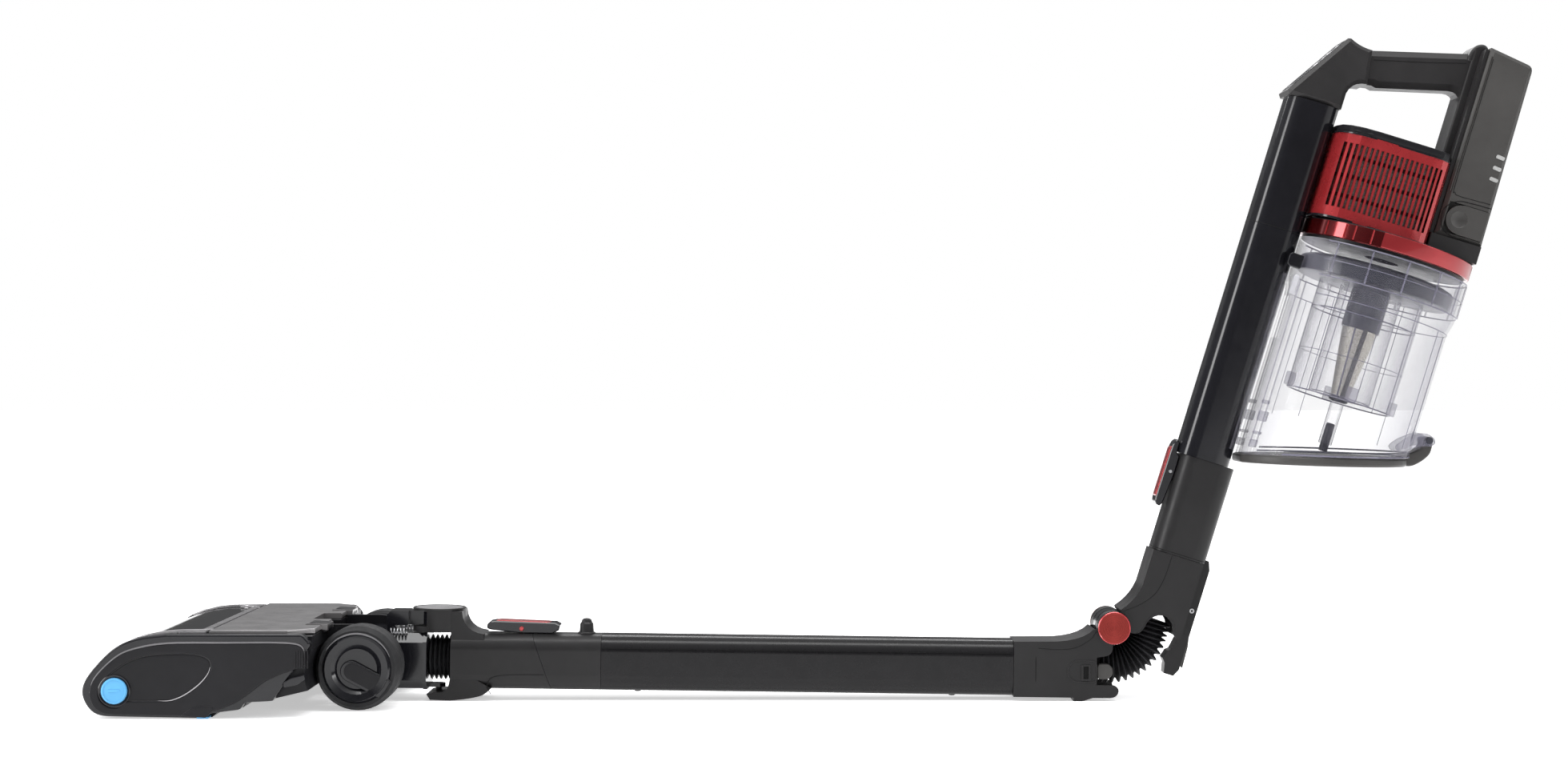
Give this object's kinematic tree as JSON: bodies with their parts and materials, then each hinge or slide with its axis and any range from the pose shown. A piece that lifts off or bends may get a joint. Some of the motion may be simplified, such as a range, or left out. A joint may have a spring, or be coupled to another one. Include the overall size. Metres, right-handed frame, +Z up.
{
  "type": "cordless stick vacuum",
  "caption": "Cordless stick vacuum with a motorised floor head, folding wand, clear dust cup, slotted red motor housing and slide-in battery, shown with the wand bent.",
  "frame": {"origin": "on the floor, under the middle of the flat sole bar of the floor head", "axes": "+X from the nose of the floor head back along the lower wand towards the handle, +Y across the head, +Z up from the floor"},
  "size_m": [1.1378, 0.2508, 0.5335],
  "materials": {
    "black_shell": "satin moulded black plastic",
    "charcoal_shell": "fine-grained charcoal moulded plastic",
    "gloss_black": "polished black plastic with long highlights",
    "wand_black": "black anodised aluminium tube, satin",
    "metallic_grey": "moulded plastic with a dark metallic silver paint",
    "trim_silver": "light silver-grey moulding",
    "red_metallic": "moulded plastic with a metallic red lacquer",
    "knob_blue": "sky blue moulded plastic",
    "clear_cup": "clear polycarbonate with a faint lilac tint",
    "smoke_window": "smoked transparent plastic",
    "lens": "clear headlight lens",
    "rubber_black": "matt black rubber",
    "tyre_black": "matt black tyre rubber",
    "steel": "turned steel",
    "motor_metal": "die-cast motor can",
    "mesh_steel": "fine stainless mesh",
    "filter_grey": "dark blue-grey plastic",
    "filter_felt": "pleated grey filter paper",
    "roller_fabric": "dark nylon pile"
  },
  "bodies": {
    "floor_head": {"head_chassis": "black_shell", "front_bumper": "black_shell", "headlight_lens": "lens", "head_window": "smoke_window", "window_trim": "trim_silver", "head_top_cover": "metallic_grey", "end_cap_left": "gloss_black", "end_cap_right": "gloss_black", "roller_belt": "rubber_black", "brush_belt": "rubber_black", "brush_motor": "motor_metal", "wheel_axle_left": "steel", "wheel_axle_right": "steel"},
    "release_knob": {"roller_release_knob": "knob_blue"},
    "soft_roller": {"front_roller": "roller_fabric"},
    "bristle_roll": {"brush_roll": "roller_fabric"},
    "brush_motor_shaft": {"motor_pulley": "steel"},
    "wheel_left": {"wheel_hub_left": "gloss_black", "wheel_tyre_left": "tyre_black"},
    "wheel_right": {"wheel_hub_right": "gloss_black", "wheel_tyre_right": "tyre_black"},
    "neck": {"neck_duct": "gloss_black", "neck_bellows": "rubber_black"},
    "nozzle_socket": {"connector_shell": "charcoal_shell", "turret_cap": "trim_silver"},
    "nozzle_lever": {"lower_release_lever": "red_metallic"},
    "lower_wand": {"wand_sleeve": "charcoal_shell", "wand_tube": "wand_black", "parking_pin": "charcoal_shell", "lower_hinge_housing": "charcoal_shell", "hinge_barrel": "gloss_black", "hinge_pin": "steel", "hinge_cap_left": "red_metallic", "hinge_cap_right": "red_metallic", "fold_bellows": "rubber_black"},
    "upper_wand": {"upper_hinge_housing": "charcoal_shell", "upper_stub": "charcoal_shell"},
    "fold_lever": {"fold_release_lever": "charcoal_shell"},
    "hand_lever": {"upper_release_lever": "red_metallic"},
    "hand_unit": {"main_tube": "gloss_black", "handle_shell": "charcoal_shell", "display_panel": "trim_silver", "motor_housing": "red_metallic", "motor_cap": "black_shell", "suction_motor": "motor_metal", "exhaust_filter": "filter_felt", "red_band": "red_metallic"},
    "power_key": {"power_button": "black_shell"},
    "mode_key": {"mode_button": "black_shell"},
    "fan": {"impeller": "black_shell"},
    "battery_pack": {"battery": "charcoal_shell"},
    "battery_key_left": {"battery_button_left": "charcoal_shell"},
    "battery_key_right": {"battery_button_right": "charcoal_shell"},
    "dust_cup": {"cup_shell": "clear_cup", "lid_pin": "steel", "cup_shroud": "clear_cup", "mesh_cone": "mesh_steel", "filter_ring": "filter_grey"},
    "lid": {"cup_lid": "charcoal_shell"},
    "lid_key": {"lid_button": "black_shell"}
  },
  "joints": [
    {"name": "knob_press", "type": "slide", "parent": "floor_head", "child": "release_knob", "axis": [0, 1, 0], "range_m": [0, 0.0022], "stiffness_N_per_m": 900},
    {"name": "brush_spin", "type": "hinge", "parent": "floor_head", "child": "bristle_roll", "pos_m": [-0.0215, 0, 0.0216], "axis": [0, 1, 0], "continuous": true},
    {"name": "brush_motor_spin", "type": "hinge", "parent": "floor_head", "child": "brush_motor_shaft", "pos_m": [0.044, 0, 0.04], "axis": [0, 1, 0], "continuous": true},
    {"name": "roller_spin", "type": "hinge", "parent": "floor_head", "child": "soft_roller", "pos_m": [-0.063, 0, 0.0216], "axis": [0, 1, 0], "continuous": true},
    {"name": "wheel_left_spin", "type": "hinge", "parent": "floor_head", "child": "wheel_left", "pos_m": [0.1144, -0.065, 0.033], "axis": [0, 1, 0], "continuous": true},
    {"name": "wheel_right_spin", "type": "hinge", "parent": "floor_head", "child": "wheel_right", "pos_m": [0.1144, 0.065, 0.033], "axis": [0, 1, 0], "continuous": true},
    {"name": "neck_pitch", "type": "hinge", "parent": "floor_head", "child": "neck", "pos_m": [0.1144, 0, 0.033], "axis": [0, -1, 0], "range_deg": [0, 80]},
    {"name": "steer", "type": "hinge", "parent": "neck", "child": "nozzle_socket", "pos_m": [0.16845, 0, 0.06653], "axis": [0.0131, 0, 0.9999], "range_deg": [-35, 35], "deforming": ["neck_bellows"]},
    {"name": "nozzle_lever_press", "type": "hinge", "parent": "nozzle_socket", "child": "nozzle_lever", "pos_m": [0.23583, 0, 0.05704], "axis": [0, -1, 0], "range_deg": [0, 4], "stiffness_Nm_per_rad": 6},
    {"name": "wand_pull_off", "type": "slide", "parent": "nozzle_socket", "child": "lower_wand", "axis": [0.9999, 0, -0.0131], "range_m": [0, 0.045]},
    {"name": "fold", "type": "hinge", "parent": "lower_wand", "child": "upper_wand", "pos_m": [0.7129, 0, 0.0594], "axis": [0, -1, 0], "range_deg": [-73.55, 100], "deforming": ["fold_bellows"]},
    {"name": "fold_lever_press", "type": "hinge", "parent": "upper_wand", "child": "fold_lever", "pos_m": [0.77738, 0, 0.07158], "axis": [0, -1, 0], "range_deg": [0, 3], "stiffness_Nm_per_rad": 6},
    {"name": "hand_lever_press", "type": "hinge", "parent": "upper_wand", "child": "hand_lever", "pos_m": [0.76088, 0, 0.1843], "axis": [0, -1, 0], "range_deg": [0, 4], "stiffness_Nm_per_rad": 6},
    {"name": "hand_unit_pull_off", "type": "slide", "parent": "upper_wand", "child": "hand_unit", "axis": [0.2957, 0, 0.9553], "range_m": [0, 0.045]},
    {"name": "power_press", "type": "slide", "parent": "hand_unit", "child": "power_key", "axis": [0.6468, 0, -0.7627], "range_m": [0, 0.0008], "stiffness_N_per_m": 600},
    {"name": "mode_press", "type": "slide", "parent": "hand_unit", "child": "mode_key", "axis": [0.6468, 0, -0.7627], "range_m": [0, 0.0008], "stiffness_N_per_m": 600},
    {"name": "impeller_spin", "type": "hinge", "parent": "hand_unit", "child": "fan", "pos_m": [0.91688, 0, 0.38358], "axis": [0.2957, 0, 0.9553], "continuous": true},
    {"name": "battery_slide", "type": "slide", "parent": "hand_unit", "child": "battery_pack", "axis": [0.2957, 0, 0.9553], "range_m": [0, 0.12]},
    {"name": "battery_key_left_press", "type": "slide", "parent": "battery_pack", "child": "battery_key_left", "axis": [0, 1, 0], "range_m": [0, 0.0022], "stiffness_N_per_m": 700},
    {"name": "battery_key_right_press", "type": "slide", "parent": "battery_pack", "child": "battery_key_right", "axis": [0, -1, 0], "range_m": [0, 0.0022], "stiffness_N_per_m": 700},
    {"name": "cup_pull_off", "type": "slide", "parent": "hand_unit", "child": "dust_cup", "axis": [-0.2957, 0, -0.9553], "range_m": [0, 0.045]},
    {"name": "lid_open", "type": "hinge", "parent": "dust_cup", "child": "lid", "pos_m": [0.96872, 0, 0.20946], "axis": [0, -1, 0], "range_deg": [0, 85]},
    {"name": "lid_key_press", "type": "slide", "parent": "dust_cup", "child": "lid_key", "axis": [-0.2957, 0, -0.9553], "range_m": [0, 0.004], "stiffness_N_per_m": 500}
  ],
  "couplings": [
    {"joint": "brush_motor_spin", "follows": "brush_spin", "ratio": 1.6},
    {"joint": "roller_spin", "follows": "brush_spin", "ratio": 0.8}
  ]
}
